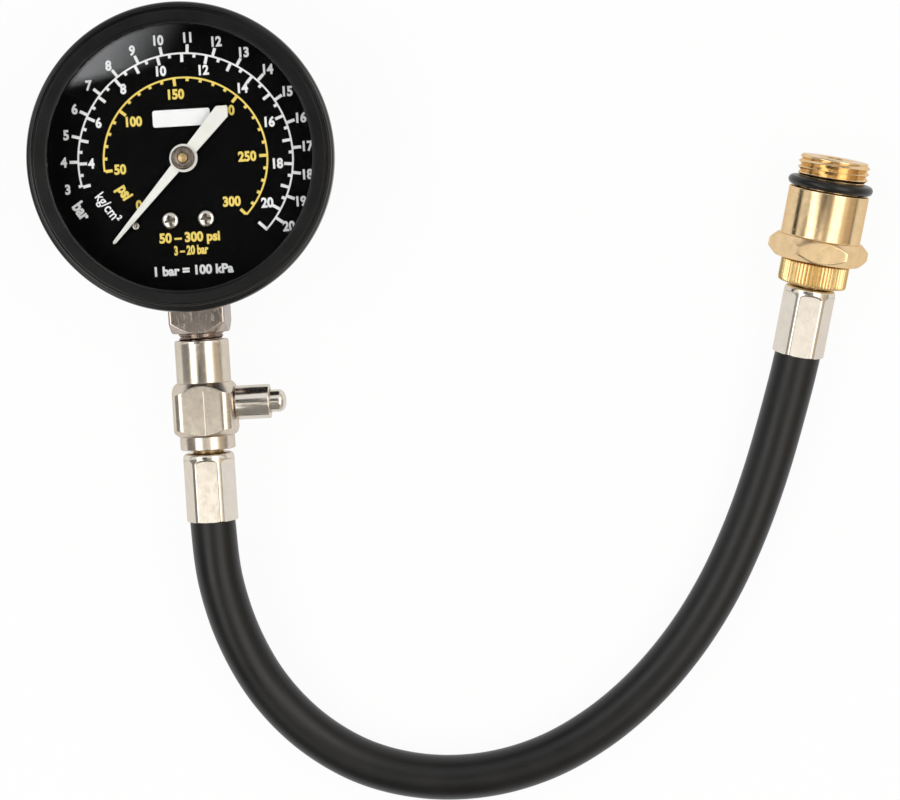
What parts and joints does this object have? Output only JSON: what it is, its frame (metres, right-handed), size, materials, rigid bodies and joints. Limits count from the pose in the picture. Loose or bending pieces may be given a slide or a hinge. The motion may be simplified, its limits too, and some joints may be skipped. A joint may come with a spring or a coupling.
{
  "type": "compression tester gauge",
  "caption": "Dial pressure gauge on a tee with a bleed valve, a flexible hose and a threaded brass spark plug hole adapter, for testing an engine's compression.",
  "frame": {"origin": "centre of the case's back face, on the pointer's axis", "axes": "+Z out of the dial, +Y towards 12 o'clock, +X towards 3 o'clock; the gauge lies on its back"},
  "size_m": [0.2099, 0.2071, 0.0335],
  "materials": {
    "black_paint": "gloss",
    "lens_glass": "polished",
    "dial_black": "matt",
    "white_paint": "matt",
    "nickel": "satin",
    "steel": "satin",
    "brass": "satin",
    "bronze": "satin",
    "rubber": "matt"
  },
  "bodies": {
    "gauge": {"case": "black_paint", "bezel_ring": "black_paint", "lens": "lens_glass", "dial_plate": "dial_black", "gauge_socket": "nickel", "tee_body": "nickel", "bleed_barrel": "nickel", "near_ferrule": "nickel", "far_ferrule": "nickel", "dial_screw_left": "steel", "dial_screw_right": "steel", "stop_pin": "steel", "case_screw_left": "steel", "case_screw_right": "steel", "bleed_spring": "steel", "check_valve_spring": "steel", "hairspring_stud": "brass", "movement_bottom_plate": "brass", "movement_top_plate": "brass", "pillar_1": "brass", "pillar_2": "brass", "pillar_3": "brass", "movement_screw_left": "brass", "movement_screw_right": "brass", "restrictor": "brass", "near_hose_nipple": "brass", "far_hose_nipple": "brass", "spark_plug_adapter": "brass", "check_valve_body": "brass", "bourdon_tube": "bronze", "hairspring": "bronze", "hose": "rubber", "lens_gasket": "rubber", "nipple_o_ring": "rubber", "adapter_o_ring": "rubber"},
    "pointer": {"pointer": "white_paint", "pointer_hub": "steel", "pinion_arbor": "brass", "hairspring_collet": "brass"},
    "sector": {"sector_gear": "brass", "sector_arbor": "steel", "link_pin": "steel"},
    "link": {"link": "steel"},
    "tube_tip": {"tube_tip_cap": "brass", "tip_pin": "steel"},
    "bleed_button": {"bleed_button": "nickel", "bleed_seal": "rubber"},
    "valve_pin": {"check_valve_pin": "steel", "check_valve_seal": "rubber"}
  },
  "joints": [
    {"name": "sector_swing", "type": "hinge", "parent": "gauge", "child": "sector", "pos_m": [0.01247, -0.0072, 0.0135], "axis": [0, 0, 1], "range_deg": [0, 54.4]},
    {"name": "pointer_turn", "type": "hinge", "parent": "gauge", "child": "pointer", "pos_m": [0, 0, 0.025], "axis": [0, 0, 1], "range_deg": [-272, 0], "deforming": ["hairspring"]},
    {"name": "tube_tip_rise", "type": "slide", "parent": "gauge", "child": "tube_tip", "axis": [0, 1, 0], "range_m": [0, 0.00503], "deforming": ["bourdon_tube"]},
    {"name": "link_swing", "type": "hinge", "parent": "sector", "child": "link", "pos_m": [0.01736, -0.00971, 0.0147], "axis": [0, 0, 1], "range_deg": [-54.4, 0]},
    {"name": "bleed_press", "type": "slide", "parent": "gauge", "child": "bleed_button", "axis": [-1, 0, 0], "range_m": [0, 0.002], "stiffness_N_per_m": 400, "springref_m": -0.003, "deforming": ["bleed_spring"]},
    {"name": "check_valve_lift", "type": "slide", "parent": "gauge", "child": "valve_pin", "axis": [-0.2237, -0.969, -0.1045], "range_m": [0, 0.001], "stiffness_N_per_m": 200, "springref_m": -0.002, "deforming": ["check_valve_spring"]}
  ],
  "couplings": [
    {"joint": "pointer_turn", "follows": "sector_swing", "ratio": -5},
    {"joint": "tube_tip_rise", "follows": "sector_swing", "m_per_rad": 0.0052957},
    {"joint": "link_swing", "follows": "sector_swing", "ratio": -1}
  ]
}
